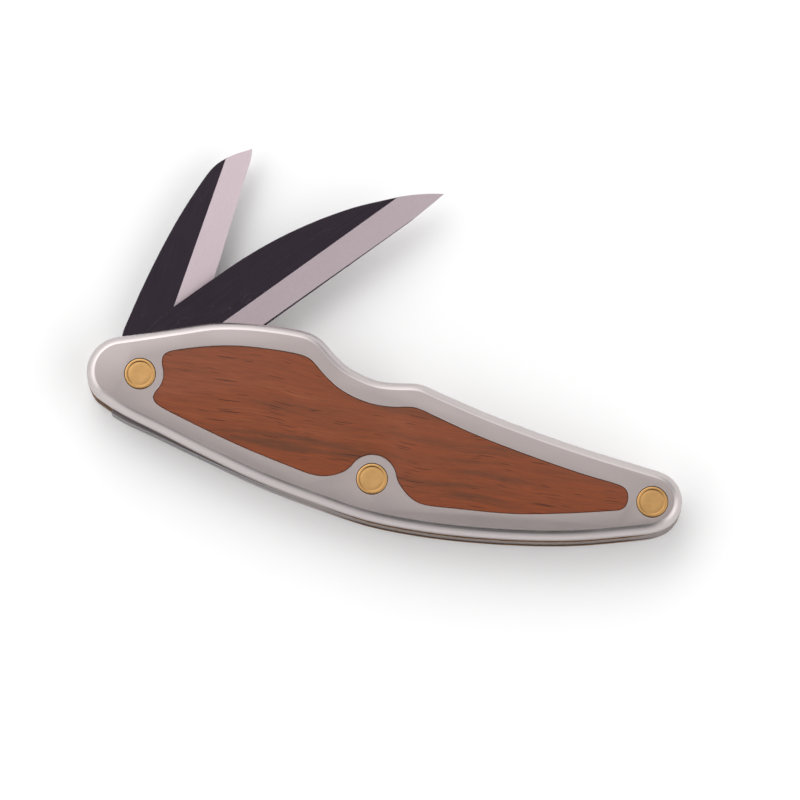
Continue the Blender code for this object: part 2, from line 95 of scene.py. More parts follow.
# Smoothing of an inlay's outline, and of a backspring's.
INLAY_BLUR = 0.35 * MM
SPRING_BLUR = 0.45 * MM
# Broken edges of a blade: share of their width and drop in widths from the flat, and where they fade at a corner.
BREAK_PROFILE = ((1.0, 0.0), (0.3, 0.8), (0.0, 1.6))
BREAK_FADE = 1.2 * MM
# Turns of a blade's outline that stay sharp, and those where its broken edges fade.
SHARP_CORNER = math.radians(22.0)
FADING_CORNER = math.radians(15.0)
# How far behind its rivet a backspring starts to bend.
BEND_START = 2.0 * MM
# Radius of the circle that a rivet's profile is swept along.
AXIS_RADIUS = 1.0 * MM
# Middle of the ring groove in a rivet's head, as a share of its radius.
GROOVE_SHARE = 0.81

# ---- Where things are, read from the frame ---------------------------------------------------

INLAY_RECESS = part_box("front_scale")[1].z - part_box("front_inlay")[1].z
RIVET_NAMES = ("pivot", "spring", "tail")
RIVET_HEAD_RADIUS = 0.5 * (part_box("tail_rivet_post")[1].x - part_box("tail_rivet_post")[0].x)
# The backsprings' arms lie lifted by this angle, and end at this place under the tangs.
SPRING_LIFT = math.radians(0.8)
SPRING_END_X = -3.1 * MM


def rivet_centre(name):
    """Point on a rivet's axis at the height of the resting face."""
    low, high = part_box(f"{name}_rivet_post")
    return Vector((0.5 * (low.x + high.x), 0.5 * (low.y + high.y), 0.0))


# ---- Settings --------------------------------------------------------------------------------


def length(name, description, default):
    return FloatProperty(
        name=name, description=description, default=default, min=0.0, subtype="DISTANCE", unit="LENGTH"
    )


def colour(name, description, default):
    return FloatVectorProperty(
        name=name, description=description, default=default, min=0.0, max=1.0, size=3, subtype="COLOR"
    )


class ScaleSettings(bpy.types.PropertyGroup):
    rim_width: length("Rim Width", "Width of the rounded rim, seen from above", 1.5 * MM)
    rim_break: FloatProperty(
        name="Rim Break", description="Slope of the rim where it leaves the flat face",
        default=math.radians(11.0), min=0.0, max=math.radians(80.0), subtype="ANGLE", unit="ROTATION",
    )
    pocket_gap: length("Pocket Gap", "Gap between the wood and the metal round it", 0.07 * MM)
    pocket_break: length("Pocket Break", "Width of the broken edge round a pocket", 0.09 * MM)
    face: colour("Face", "Colour of the bead-blasted aluminium", (0.385, 0.335, 0.327))
    rim: colour("Rim", "Colour of the ground rim", (0.54, 0.49, 0.487))


class InlaySettings(bpy.types.PropertyGroup):
    edge_radius: length("Edge Radius", "Rounding of the wood's upper edge", 0.12 * MM)
    heart: colour("Heartwood", "Main colour of the wood", (0.205, 0.0485, 0.0165))
    pale: colour("Pale Streaks", "Colour of the lighter streaks", (0.275, 0.075, 0.028))
    dark: colour("Dark Streaks", "Colour of the darker streaks", (0.110, 0.036, 0.016))
    pore: colour("Pores", "Colour of the open pores", (0.035, 0.010, 0.006))


class RivetSettings(bpy.types.PropertyGroup):
    shaft_radius: length("Shaft Radius", "Radius of the shaft between the heads", 1.75 * MM)
    head_thickness: length("Head Thickness", "Thickness of each head", 1.0 * MM)
    edge_break: length("Edge Break", "Rounding of a head's edge", 0.14 * MM)
    dish_depth: length("Dish Depth", "Depth of the spun dish in a head", 0.045 * MM)
    segments: IntProperty(name="Segments", description="Sides of a turned shape", default=96, min=24)
    brass: colour("Brass", "Colour of the turned brass", (0.625, 0.36, 0.142))
    darker_brass: colour("Darker Brass", "Colour of the brass in the groove", (0.30, 0.15, 0.05))


class LinerSettings(bpy.types.PropertyGroup):
    brass: colour("Brass", "Colour of the rolled brass plates", (0.36, 0.22, 0.13))
    darker_brass: colour("Darker Brass", "Colour of the dulled patches", (0.20, 0.12, 0.075))


class BladeSettings(bpy.types.PropertyGroup):
    spine_break: length("Spine Break", "Width of the broken edges along a spine", 0.12 * MM)
    edge_thickness: length("Edge Thickness", "Half the thickness left at a plain cutting edge", 0.03 * MM)
    honed_thickness: length("Honed Thickness", "Half the thickness under a honed edge", 0.12 * MM)
    honed_width: length("Honed Width", "Width of the large blade's honed edge at its heel", 0.42 * MM)
    large_bevel: length("Large Bevel", "Width of the large blade's bevels", 4.74 * MM)
    small_heel_bevel: length("Small Heel Bevel", "Width of the small blade's bevels at the heel", 5.5 * MM)
    small_tip_bevel: length("Small Tip Bevel", "Width of the small blade's bevels at the tip", 4.0 * MM)
    plunge: length("Plunge", "Distance from the pivot to the start of the bevels", 8.2 * MM)
    # Painted dark reflection: the near-black colour of the flats stands in for polished steel mirroring a dim
    # overhead.
    flat: colour("Flats", "Colour of the dark polished flats", (0.036, 0.027, 0.036))
    bevel: colour("Bevels", "Colour of the satin ground bevels", (0.625, 0.522, 0.555))


class SpringSettings(bpy.types.PropertyGroup):
    edge_break: length("Edge Break", "Width of a backspring's broken edges", 0.08 * MM)
    steel: colour("Steel", "Colour of the backsprings", (0.20, 0.18, 0.185))


class StudioSettings(bpy.types.PropertyGroup):
    azimuth: FloatProperty(
        name="Azimuth", description="Turn of the camera round the knife", default=math.radians(14.2),
        subtype="ANGLE", unit="ROTATION",
    )
    elevation: FloatProperty(
        name="Elevation", description="Height of the camera above the horizon", default=math.radians(81.0),
        subtype="ANGLE", unit="ROTATION",
    )
    distance: length("Distance", "Distance from the camera to the knife", 1000.0 * MM)
    field: length("Field", "Width that the camera sees at the knife", 141.2 * MM)
    floor: colour("Floor", "Colour of the floor", (0.93, 0.93, 0.93))
    sides: FloatProperty(name="Sides", description="Brightness of the dome low down", default=1.15, min=0.0)
    overhead: FloatProperty(name="Overhead", description="Brightness of the dome overhead", default=0.70, min=0.0)


# ---- Outlines --------------------------------------------------------------------------------


def section(node, height):
    """Closed loops where a level plane cuts a CAD node, longest first, as counter-clockwise XY points."""
    bm = bmesh.new()
    bm.from_mesh(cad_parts[node].data)
    bmesh.ops.remove_doubles(bm, verts=bm.verts, dist=WELD)
    cut = bmesh.ops.bisect_plane(
        bm, geom=bm.verts[:] + bm.edges[:] + bm.faces[:], plane_co=(0.0, 0.0, height), plane_no=(0.0, 0.0, 1.0)
    )
    joined = {}
    for edge in (item for item in cut["geom_cut"] if isinstance(item, bmesh.types.BMEdge)):
        start, end = edge.verts
        joined.setdefault(start, []).append(end)
        joined.setdefault(end, []).append(start)
    loops = []
    while joined:
        loop = [next(iter(joined))]
        while onward := [vert for vert in joined.pop(loop[-1]) if vert in joined]:
            loop.append(onward[0])
        loops.append(np.array([vert.co.xy for vert in loop]))
    bm.free()
    loops = [loop if area_of(loop) > 0 else loop[::-1] for loop in loops]
    return sorted(loops, key=area_of, reverse=True)


def area_of(loop):
    ahead = np.roll(loop, -1, axis=0)
    return 0.5 * float(np.sum(loop[:, 0] * ahead[:, 1] - loop[:, 1] * ahead[:, 0]))


def middle_of(node):
    low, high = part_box(node)
    return 0.5 * (low.z + high.z)


def evenly(run, step):
    """The open run of points again, at an even step."""
    along = np.concatenate([[0.0], np.cumsum(np.linalg.norm(np.diff(run, axis=0), axis=1))])
    stations = np.linspace(0.0, along[-1], max(2, round(along[-1] / step) + 1))
    return np.stack([np.interp(stations, along, run[:, axis]) for axis in (0, 1)], axis=1)


def blurred(points, reach, padding):
    """The points with small facets smoothed out over a reach counted in points."""
    side = max(1, int(3 * reach))
    weights = np.exp(-0.5 * (np.arange(-side, side + 1) / reach) ** 2)
    weights /= weights.sum()
    padded = np.pad(points, ((side, side), (0, 0)), **padding)
    return np.stack([np.convolve(padded[:, axis], weights, "valid") for axis in (0, 1)], axis=1)


def corners_of(loop, angle):
    """Indices of the points where the loop turns by more than an angle."""
    ahead = np.roll(loop, -1, axis=0) - loop
    heading = np.arctan2(ahead[:, 1], ahead[:, 0])
    turn = np.abs((heading - np.roll(heading, 1) + math.pi) % (2 * math.pi) - math.pi)
    return np.flatnonzero(turn > angle)


def eased(loop, step=0.35 * MM, blur=0.6 * MM, corner=math.pi):
    """The closed loop at an even step, its facets smoothed away between corners sharper than an angle."""
    loop = loop[np.linalg.norm(np.roll(loop, -1, axis=0) - loop, axis=1) > 0.002 * MM]
    corners = corners_of(loop, corner)
    if not len(corners):
        closed = evenly(np.vstack([loop, loop[:1]]), step)[:-1]
        return blurred(closed, blur / step, {"mode": "wrap"})
    loop = np.roll(loop, -corners[0], axis=0)
    marks = [*(corners - corners[0]), len(loop)]
    runs = []
    for start, end in zip(marks, marks[1:]):
        run = evenly(np.vstack([loop[start:end], loop[end % len(loop)]]), step)
        runs.append(blurred(run, blur / step, {"mode": "reflect", "reflect_type": "odd"})[:-1])
    return np.vstack(runs)


def inset(outline, distance):
    """The counter-clockwise outline moved inward by a distance, or by one for each point."""
    chord = np.roll(outline, -1, axis=0) - np.roll(outline, 1, axis=0)
    inward = np.stack([-chord[:, 1], chord[:, 0]], axis=1) / np.linalg.norm(chord, axis=1, keepdims=True)
    return outline + inward * np.reshape(distance, (-1, 1))


# ---- Meshes ----------------------------------------------------------------------------------


def linked(name, mesh):
    obj = bpy.data.objects.new(name, mesh)
    bpy.context.scene.collection.objects.link(obj)
    return obj


def baked(obj):
    """The object's evaluated mesh as a plain one, with the object itself and its helpers removed."""
    graph = bpy.context.evaluated_depsgraph_get()
    mesh = bpy.data.meshes.new_from_object(obj.evaluated_get(graph))
    helpers = [modifier.object for modifier in obj.modifiers if modifier.type == "BOOLEAN"]
    for used in [*helpers, obj]:
        bpy.data.objects.remove(used)
    return mesh


def loft(name, rings):
    """A closed solid through level (outline, height) rings of equal point count."""
    return skinned(name, [[(x, y, height) for x, y in outline] for outline, height in rings])


def skinned(name, rings):
    """A closed solid through rings of equal point count."""
    bm = bmesh.new()
    rows = [[bm.verts.new(point) for point in ring] for ring in rings]
    for row, following in zip(rows, rows[1:]):
        for i in range(len(row)):
            bm.faces.new((row[i - 1], row[i], following[i], following[i - 1]))
    bm.faces.new(rows[0])
    bm.faces.new(rows[-1])
    bmesh.ops.recalc_face_normals(bm, faces=bm.faces)
    mesh = bpy.data.meshes.new(name)
    bm.to_mesh(mesh)
    bm.free()
    return linked(name, mesh)


def circle(centre, radius, count=72):
    angles = np.arange(count) * 2 * math.pi / count
    return np.stack([centre[0] + radius * np.cos(angles), centre[1] + radius * np.sin(angles)], axis=1)


def bore(name, centre, bottom, top):
    """A cutter for a rivet's hole through everything between two heights."""
    outline = circle(centre, BORE_RADIUS)
    return loft(name, [(outline, bottom - OVERCUT), (outline, top + OVERCUT)])


def carved(obj, cutters):
    """The object's mesh with the cutters taken away."""
    for cutter in cutters:
        boolean = obj.modifiers.new(cutter.name, "BOOLEAN")
        boolean.operation = "DIFFERENCE"
        boolean.solver = "EXACT"
        boolean.object = cutter
    return baked(obj)


def plate(name, loops, bottom, top, edge_break):
    """A flat plate of an outline and its holes, with broken edges."""
    curve = bpy.data.curves.new(name, "CURVE")
    curve.dimensions = "2D"
    curve.fill_mode = "BOTH"
    curve.extrude = 0.5 * (top - bottom) - edge_break
    curve.bevel_depth = edge_break
    curve.bevel_resolution = 1
    curve.offset = -edge_break
    for loop in loops:
        spline = curve.splines.new("POLY")
        spline.points.add(len(loop) - 1)
        spline.points.foreach_set("co", np.c_[loop, np.zeros(len(loop)), np.ones(len(loop))].ravel())
        spline.use_cyclic_u = True
    mesh = baked(linked(name, curve))
    mesh.transform(Matrix.Translation((0.0, 0.0, 0.5 * (bottom + top))))
    weld(mesh)
    return mesh


def weld(mesh):
    bm = bmesh.new()
    bm.from_mesh(mesh)
    bmesh.ops.remove_doubles(bm, verts=bm.verts, dist=WELD)
    bmesh.ops.recalc_face_normals(bm, faces=bm.faces)
    bm.to_mesh(mesh)
    bm.free()


def piece(name, mesh, materials, body, replaced, sharp=20.0, by_slope=()):
    """Links a finished mesh, shades it, parents it to the body that it rides on, and hides the CAD parts that it
    stands for.

    by_slope gives each face the material of the first (least upright share, index) pair that it reaches.
    """
    mesh.name = name
    obj = linked(name, mesh)
    mesh.materials.clear()
    for material in materials:
        mesh.materials.append(material)
    if by_slope:
        for polygon in mesh.polygons:
            upright = abs(polygon.normal.z)
            polygon.material_index = next(index for least, index in by_slope if upright >= least)
    mesh.shade_smooth()
    mesh.set_sharp_from_angle(angle=math.radians(sharp))
    if body:
        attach(obj, body)
    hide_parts(*replaced)
    return obj


# ---- Shader helpers --------------------------------------------------------------------------


def node(tree, kind, inputs=None, **settings):
    """Adds a node, sets its properties, and gives each named or numbered input a value or a link."""
    made = tree.nodes.new(kind)
    for key, value in settings.items():
        setattr(made, key, value)
    for key, value in (inputs or {}).items():
        if isinstance(value, bpy.types.NodeSocket):
            tree.links.new(value, made.inputs[key])
        else:
            made.inputs[key].default_value = value
    return made


def calc(tree, operation, *values, clamp=False):
    return node(tree, "ShaderNodeMath", dict(enumerate(values)), operation=operation, use_clamp=clamp).outputs[0]


def ramp(tree, value, low, high, out_low=0.0, out_high=1.0):
    """The value taken smoothly from one range to another."""
    inputs = {"Value": value, "From Min": low, "From Max": high, "To Min": out_low, "To Max": out_high}
    return node(tree, "ShaderNodeMapRange", inputs, interpolation_type="SMOOTHSTEP").outputs[0]


def mix(tree, factor, first, second):
    """Two colours mixed by a factor."""
    made = node(tree, "ShaderNodeMix", data_type="RGBA")
    colours = [socket for socket in made.inputs if socket.type == "RGBA"]
    for socket, value in zip([made.inputs[0], *colours], (factor, rgba(first), rgba(second))):
        if isinstance(value, bpy.types.NodeSocket):
            tree.links.new(value, socket)
        else:
            socket.default_value = value
    return next(socket for socket in made.outputs if socket.type == "RGBA")


def rgba(value):
    return value if isinstance(value, bpy.types.NodeSocket) else (*value, 1.0)


def noise(tree, vector, scale=1.0, detail=2.0, roughness=0.5):
    inputs = {"Vector": vector, "Scale": scale, "Detail": detail, "Roughness": roughness}
    return node(tree, "ShaderNodeTexNoise", inputs).outputs["Fac"]


def new_group(name, inputs, outputs):
    """A shader node group with named sockets, and its two end nodes."""
    tree = bpy.data.node_groups.new(name, "ShaderNodeTree")
    for label, kind, default in inputs:
        socket = tree.interface.new_socket(name=label, in_out="INPUT", socket_type=f"NodeSocket{kind}")
        if default is not None:
            socket.default_value = default
    for label in outputs:
        tree.interface.new_socket(name=label, in_out="OUTPUT", socket_type="NodeSocketFloat")
    return tree, tree.nodes.new("NodeGroupInput").outputs, tree.nodes.new("NodeGroupOutput").inputs


def stretched(tree, vector, angle, lengthwise, across):
    """The coordinate turned about the knife's thickness and divided by a length and a width."""
    turned = node(tree, "ShaderNodeVectorRotate", {"Vector": vector, "Angle": angle}, rotation_type="Z_AXIS")
    size = node(tree, "ShaderNodeCombineXYZ", {"X": lengthwise, "Y": across, "Z": across})
    divided = node(tree, "ShaderNodeVectorMath", {0: turned.outputs[0], 1: size.outputs[0]}, operation="DIVIDE")
    return divided.outputs[0]


def build_drawn_lines():
    """Fine parallel lines, as left by a belt, a roller or the fibres of wood."""
    tree, given, out = new_group(
        "Drawn Lines",
        [("Vector", "Vector", None), ("Angle", "Float", 0.0), ("Length", "Float", 0.01), ("Width", "Float", 0.0001)],
        ["Mask"],
    )
    place = stretched(tree, given["Vector"], given["Angle"], given["Length"], given["Width"])
    tree.links.new(noise(tree, place, 1.0, 3.0, 0.6), out["Mask"])
    return tree


def build_fine_grain():
    """Even fine grain, as left by bead blasting, and broad soft blotches from handling."""
    tree, given, out = new_group(
        "Fine Grain",
        [("Vector", "Vector", None), ("Grain Size", "Float", 0.0002), ("Blotch Size", "Float", 0.01)],
        ["Grain", "Blotch"],
    )
    grain_scale = calc(tree, "DIVIDE", 1.0, given["Grain Size"])
    blotch_scale = calc(tree, "DIVIDE", 1.0, given["Blotch Size"])
    tree.links.new(noise(tree, given["Vector"], grain_scale, 2.0, 0.6), out["Grain"])
    blotch = ramp(tree, noise(tree, given["Vector"], blotch_scale, 3.0, 0.55), 0.3, 0.7)
    tree.links.new(blotch, out["Blotch"])
    return tree


def build_scratches():
    """Sparse hairline scratches that lie roughly along one direction."""
    tree, given, out = new_group(
        "Hairline Scratches",
        [("Vector", "Vector", None), ("Angle", "Float", 0.0), ("Length", "Float", 0.008),
         ("Spacing", "Float", 0.001)],
        ["Mask"],
    )
    place = stretched(tree, given["Vector"], given["Angle"], given["Length"], given["Spacing"])
    from_middle = calc(tree, "ABSOLUTE", calc(tree, "SUBTRACT", noise(tree, place, 1.0, 1.0), 0.5))
    line = ramp(tree, from_middle, 0.004, 0.012, 1.0, 0.0)
    patches = ramp(tree, noise(tree, place, 0.45, 1.0), 0.55, 0.68)
    tree.links.new(calc(tree, "MULTIPLY", line, patches), out["Mask"])
    return tree


def build_edge_highlight():
    """A mask along convex and concave edges, where a highlight is painted."""
    tree, given, out = new_group("Edge Highlight", [("Radius", "Float", 0.0001)], ["Mask"])
    rounded = node(tree, "ShaderNodeBevel", {"Radius": given["Radius"]}, samples=4).outputs[0]
    true_normal = node(tree, "ShaderNodeNewGeometry").outputs["Normal"]
    same = node(tree, "ShaderNodeVectorMath", {0: rounded, 1: true_normal}, operation="DOT_PRODUCT").outputs["Value"]
    tree.links.new(ramp(tree, same, 0.8, 0.995, 1.0, 0.0), out["Mask"])
    return tree


def build_pores():
    """Short dark pores that lie along the grain of open-grained wood."""
    tree, given, out = new_group(
        "Wood Pores",
        [("Vector", "Vector", None), ("Angle", "Float", 0.0), ("Length", "Float", 0.003), ("Width", "Float", 0.0003),
         ("Share", "Float", 0.3)],
        ["Mask"],
    )
    place = stretched(tree, given["Vector"], given["Angle"], given["Length"], given["Width"])
    cells = node(tree, "ShaderNodeTexVoronoi", {"Vector": place, "Scale": 1.0, "Randomness": 1.0})
    chance = node(tree, "ShaderNodeSeparateColor", {"Color": cells.outputs["Color"]}).outputs[0]
    present = calc(tree, "LESS_THAN", chance, given["Share"])
    slit = ramp(tree, cells.outputs["Distance"], 0.14, 0.20, 1.0, 0.0)
    tree.links.new(calc(tree, "MULTIPLY", slit, present), out["Mask"])
    return tree


def build_turning_rings():
    """Concentric lines left by a lathe, from a coordinate centred on the axis."""
    tree, given, out = new_group(
        "Turning Rings", [("Vector", "Vector", None), ("Spacing", "Float", 0.0001)], ["Mask", "Radius"]
    )
    flat = node(tree, "ShaderNodeVectorMath", {0: given["Vector"], 1: (1.0, 1.0, 0.0)}, operation="MULTIPLY")
    radius = node(tree, "ShaderNodeVectorMath", {0: flat.outputs[0]}, operation="LENGTH").outputs["Value"]
    turns = node(tree, "ShaderNodeCombineXYZ", {"X": calc(tree, "DIVIDE", radius, given["Spacing"])})
    tree.links.new(noise(tree, turns.outputs[0], 1.0, 2.0), out["Mask"])
    tree.links.new(radius, out["Radius"])
    return tree


GROUP_BUILDERS = {
    "Drawn Lines": build_drawn_lines,
    "Fine Grain": build_fine_grain,
    "Hairline Scratches": build_scratches,
    "Edge Highlight": build_edge_highlight,
    "Wood Pores": build_pores,
    "Turning Rings": build_turning_rings,
}


def placed(tree, name, **inputs):
    """Places a shared shader group, built the first time that it is asked for."""
    shared = bpy.data.node_groups.get(name) or GROUP_BUILDERS[name]()
    made = node(tree, "ShaderNodeGroup", node_tree=shared)
    for label, value in inputs.items():
        socket = made.inputs[label.replace("_", " ")]
        if isinstance(value, bpy.types.NodeSocket):
            tree.links.new(value, socket)
        else:
            socket.default_value = value
    return made.outputs


def new_material(name, metallic, specular=0.5):
    """A material with its tree, its shader, and the piece's own coordinates."""
    material = bpy.data.materials.new(name)
    material.use_nodes = True
    tree = material.node_tree
    shader = tree.nodes["Principled BSDF"]
    shader.inputs["Metallic"].default_value = metallic
    shader.inputs["Specular IOR Level"].default_value = specular
    return material, tree, shader.inputs, node(tree, "ShaderNodeTexCoord").outputs["Object"]


def bump(tree, shader, height, strength, distance):
    inputs = {"Height": height, "Strength": strength, "Distance": distance}
    tree.links.new(node(tree, "ShaderNodeBump", inputs).outputs[0], shader["Normal"])


def darker(value, factor):
    return tuple(factor * part for part in value)


# ---- Materials -------------------------------------------------------------------------------


def aluminium(name, tint, roughness, grain_size, relief):
    """Aluminium with an even blasted or ground grain, faint blotches and a few hairlines."""
    material, tree, shader, place = new_material(name, 1.0)
    grain = placed(tree, "Fine Grain", Vector=place, Grain_Size=grain_size, Blotch_Size=9 * MM)
    scratches = placed(tree, "Hairline Scratches", Vector=place, Angle=0.5, Length=9 * MM, Spacing=1.6 * MM)["Mask"]
    speckle = mix(tree, grain["Grain"], darker(tint, 0.93), darker(tint, 1.06))
    tone = mix(tree, calc(tree, "MULTIPLY", grain["Blotch"], 0.35), speckle, darker(tint, 0.94))
    tree.links.new(mix(tree, calc(tree, "MULTIPLY", scratches, 0.12), tone, darker(tint, 1.15)), shader["Base Color"])
    matte = calc(tree, "MULTIPLY_ADD", grain["Blotch"], 0.05, roughness)
    tree.links.new(calc(tree, "MULTIPLY_ADD", grain["Grain"], 0.06, matte), shader["Roughness"])
    bump(tree, shader, grain["Grain"], relief, 0.02 * MM)
    return material


def rosewood(settings):
    """Oiled reddish-brown wood: drifting streaks, fine fibres and short dark pores."""
    material, tree, shader, place = new_material("rosewood", 0.0, 0.2)
    tilt = math.radians(-5.0)
    wander = noise(tree, place, 60.0, 1.0)
    shifted = node(
        tree, "ShaderNodeVectorMath",
        {0: place, 1: node(tree, "ShaderNodeCombineXYZ", {"Y": calc(tree, "MULTIPLY", wander, 2.4 * MM)}).outputs[0]},
        operation="ADD",
    ).outputs[0]
    streaks = placed(tree, "Drawn Lines", Vector=shifted, Angle=tilt, Length=38 * MM, Width=3.4 * MM)["Mask"]
    fibres = placed(tree, "Drawn Lines", Vector=shifted, Angle=tilt, Length=7 * MM, Width=0.28 * MM)["Mask"]
    threads = placed(tree, "Drawn Lines", Vector=shifted, Angle=tilt, Length=3 * MM, Width=0.11 * MM)["Mask"]
    pores = placed(tree, "Wood Pores", Vector=shifted, Angle=tilt, Length=12 * MM, Width=0.36 * MM, Share=0.45)
    slits = placed(tree, "Wood Pores", Vector=shifted, Angle=tilt, Length=6 * MM, Width=0.24 * MM, Share=0.35)
    tone = mix(tree, ramp(tree, streaks, 0.30, 0.50), settings.dark, settings.heart)
    tone = mix(tree, ramp(tree, streaks, 0.52, 0.72, 0.0, 0.6), tone, settings.pale)
    tone = mix(tree, ramp(tree, fibres, 0.3, 0.62, 0.55, 0.0), tone, settings.dark)
    tone = mix(tree, ramp(tree, threads, 0.45, 0.75, 0.0, 0.45), tone, settings.pale)
    open_pores = calc(tree, "MAXIMUM", pores["Mask"], slits["Mask"])
    tree.links.new(mix(tree, calc(tree, "MULTIPLY", open_pores, 0.95), tone, settings.pore), shader["Base Color"])
    tree.links.new(ramp(tree, fibres, 0.3, 0.7, 0.5, 0.38), shader["Roughness"])
    relief = calc(tree, "SUBTRACT", calc(tree, "MULTIPLY", fibres, 0.35), open_pores)
    bump(tree, shader, relief, 0.5, 0.03 * MM)
    shader["Coat Weight"].default_value = 0.08
    shader["Coat Roughness"].default_value = 0.25
    return material


def turned_brass(settings):
    """Faced brass with lathe rings, darker in the groove round the head."""
    material, tree, shader, _ = new_material("turned_brass", 1.0)
    local = node(tree, "ShaderNodeAttribute", attribute_name="turned", attribute_type="GEOMETRY").outputs["Vector"]
    rings = placed(tree, "Turning Rings", Vector=local, Spacing=0.09 * MM)
    grain = placed(tree, "Fine Grain", Vector=local, Grain_Size=0.5 * MM, Blotch_Size=2.2 * MM)
    scratches = placed(tree, "Hairline Scratches", Vector=local, Angle=1.1, Length=3 * MM, Spacing=0.5 * MM)["Mask"]
    from_groove = calc(tree, "ABSOLUTE", calc(tree, "SUBTRACT", rings["Radius"], GROOVE_SHARE * RIVET_HEAD_RADIUS))
    groove = ramp(tree, from_groove, 0.03 * MM, 0.16 * MM, 0.75, 0.0)
    tone = mix(tree, calc(tree, "MULTIPLY", grain["Blotch"], 0.6), settings.brass, darker(settings.brass, 0.74))
    tone = mix(tree, ramp(tree, rings["Mask"], 0.35, 0.65, 0.0, 0.22), tone, darker(settings.brass, 0.75))
    tone = mix(tree, calc(tree, "MULTIPLY", scratches, 0.3), tone, darker(settings.brass, 1.15))
    # The brass is made darker in the ring groove round the head.
    tree.links.new(mix(tree, groove, tone, settings.darker_brass), shader["Base Color"])
    tree.links.new(calc(tree, "MULTIPLY_ADD", rings["Mask"], 0.12, 0.26), shader["Roughness"])
    bump(tree, shader, calc(tree, "ADD", rings["Mask"], calc(tree, "MULTIPLY", grain["Grain"], 0.6)), 0.3, 0.012 * MM)
    return material


def rolled_brass(settings):
    """Rolled brass plate, dulled in patches."""
    material, tree, shader, place = new_material("rolled_brass", 1.0)
    lines = placed(tree, "Drawn Lines", Vector=place, Angle=0.0, Length=12 * MM, Width=0.12 * MM)["Mask"]
    grain = placed(tree, "Fine Grain", Vector=place, Grain_Size=0.15 * MM, Blotch_Size=3.5 * MM)
    tone = mix(tree, grain["Blotch"], settings.brass, settings.darker_brass)
    tree.links.new(mix(tree, ramp(tree, lines, 0.35, 0.7, 0.0, 0.4), tone, settings.brass), shader["Base Color"])
    tree.links.new(calc(tree, "MULTIPLY_ADD", grain["Blotch"], 0.15, 0.36), shader["Roughness"])
    bump(tree, shader, lines, 0.25, 0.01 * MM)
    return material


def steel_painted_dark(name, tint, angle):
    """Polished steel painted near black as a painted dark reflection, with faint lengthwise lines, a few bright
    hairlines and a painted highlight along its edges.
    """
    material, tree, shader, place = new_material(name, 1.0)
    lines = placed(tree, "Drawn Lines", Vector=place, Angle=-angle, Length=14 * MM, Width=0.09 * MM)["Mask"]
    grain = placed(tree, "Fine Grain", Vector=place, Grain_Size=0.12 * MM, Blotch_Size=6 * MM)
    scratches = placed(tree, "Hairline Scratches", Vector=place, Angle=0.25 - angle, Length=5 * MM, Spacing=1.1 * MM)
    edge_highlight = placed(tree, "Edge Highlight", Radius=0.08 * MM)["Mask"]
    tone = mix(tree, ramp(tree, lines, 0.3, 0.7), darker(tint, 0.85), darker(tint, 1.18))
    tone = mix(tree, calc(tree, "MULTIPLY", grain["Blotch"], 0.4), tone, darker(tint, 0.8))
    tone = mix(tree, calc(tree, "MULTIPLY", scratches["Mask"], 0.25), tone, darker(tint, 4.0))
    # Painted highlight: the steel is painted brighter along its edges.
    tree.links.new(mix(tree, calc(tree, "MULTIPLY", edge_highlight, 0.35), tone, darker(tint, 5.0)), shader["Base Color"])
    tree.links.new(ramp(tree, grain["Blotch"], 0.0, 1.0, 0.2, 0.3), shader["Roughness"])
    bump(tree, shader, lines, 0.12, 0.01 * MM)
    return material


def satin_steel(name, tint, angle, roughness=0.34):
    """Ground steel with satin lines across the blade."""
    material, tree, shader, place = new_material(name, 1.0)
    lines = placed(tree, "Drawn Lines", Vector=place, Angle=-angle, Length=5 * MM, Width=0.07 * MM)["Mask"]
    grain = placed(tree, "Fine Grain", Vector=place, Grain_Size=0.2 * MM, Blotch_Size=8 * MM)
    tone = mix(tree, ramp(tree, lines, 0.3, 0.7), darker(tint, 0.92), darker(tint, 1.06))
    tone = mix(tree, calc(tree, "MULTIPLY", grain["Blotch"], 0.3), tone, darker(tint, 0.93))
    tree.links.new(tone, shader["Base Color"])
    tree.links.new(calc(tree, "MULTIPLY_ADD", lines, 0.14, roughness - 0.07), shader["Roughness"])
    bump(tree, shader, lines, 0.25, 0.01 * MM)
    return material


# ---- Pieces ----------------------------------------------------------------------------------


def rim_profile(width, break_angle, steps=12):
    """(inset, depth) pairs down a rim that rounds over from its break to the upright wall."""
    steepest = math.radians(88.0)
    radius = width / (math.sin(steepest) - math.sin(break_angle))
    slopes = np.linspace(break_angle, steepest, steps)
    insets = width - radius * (np.sin(slopes) - math.sin(break_angle))
    depths = radius * (math.cos(break_angle) - np.cos(slopes))
    return list(zip(insets, depths))


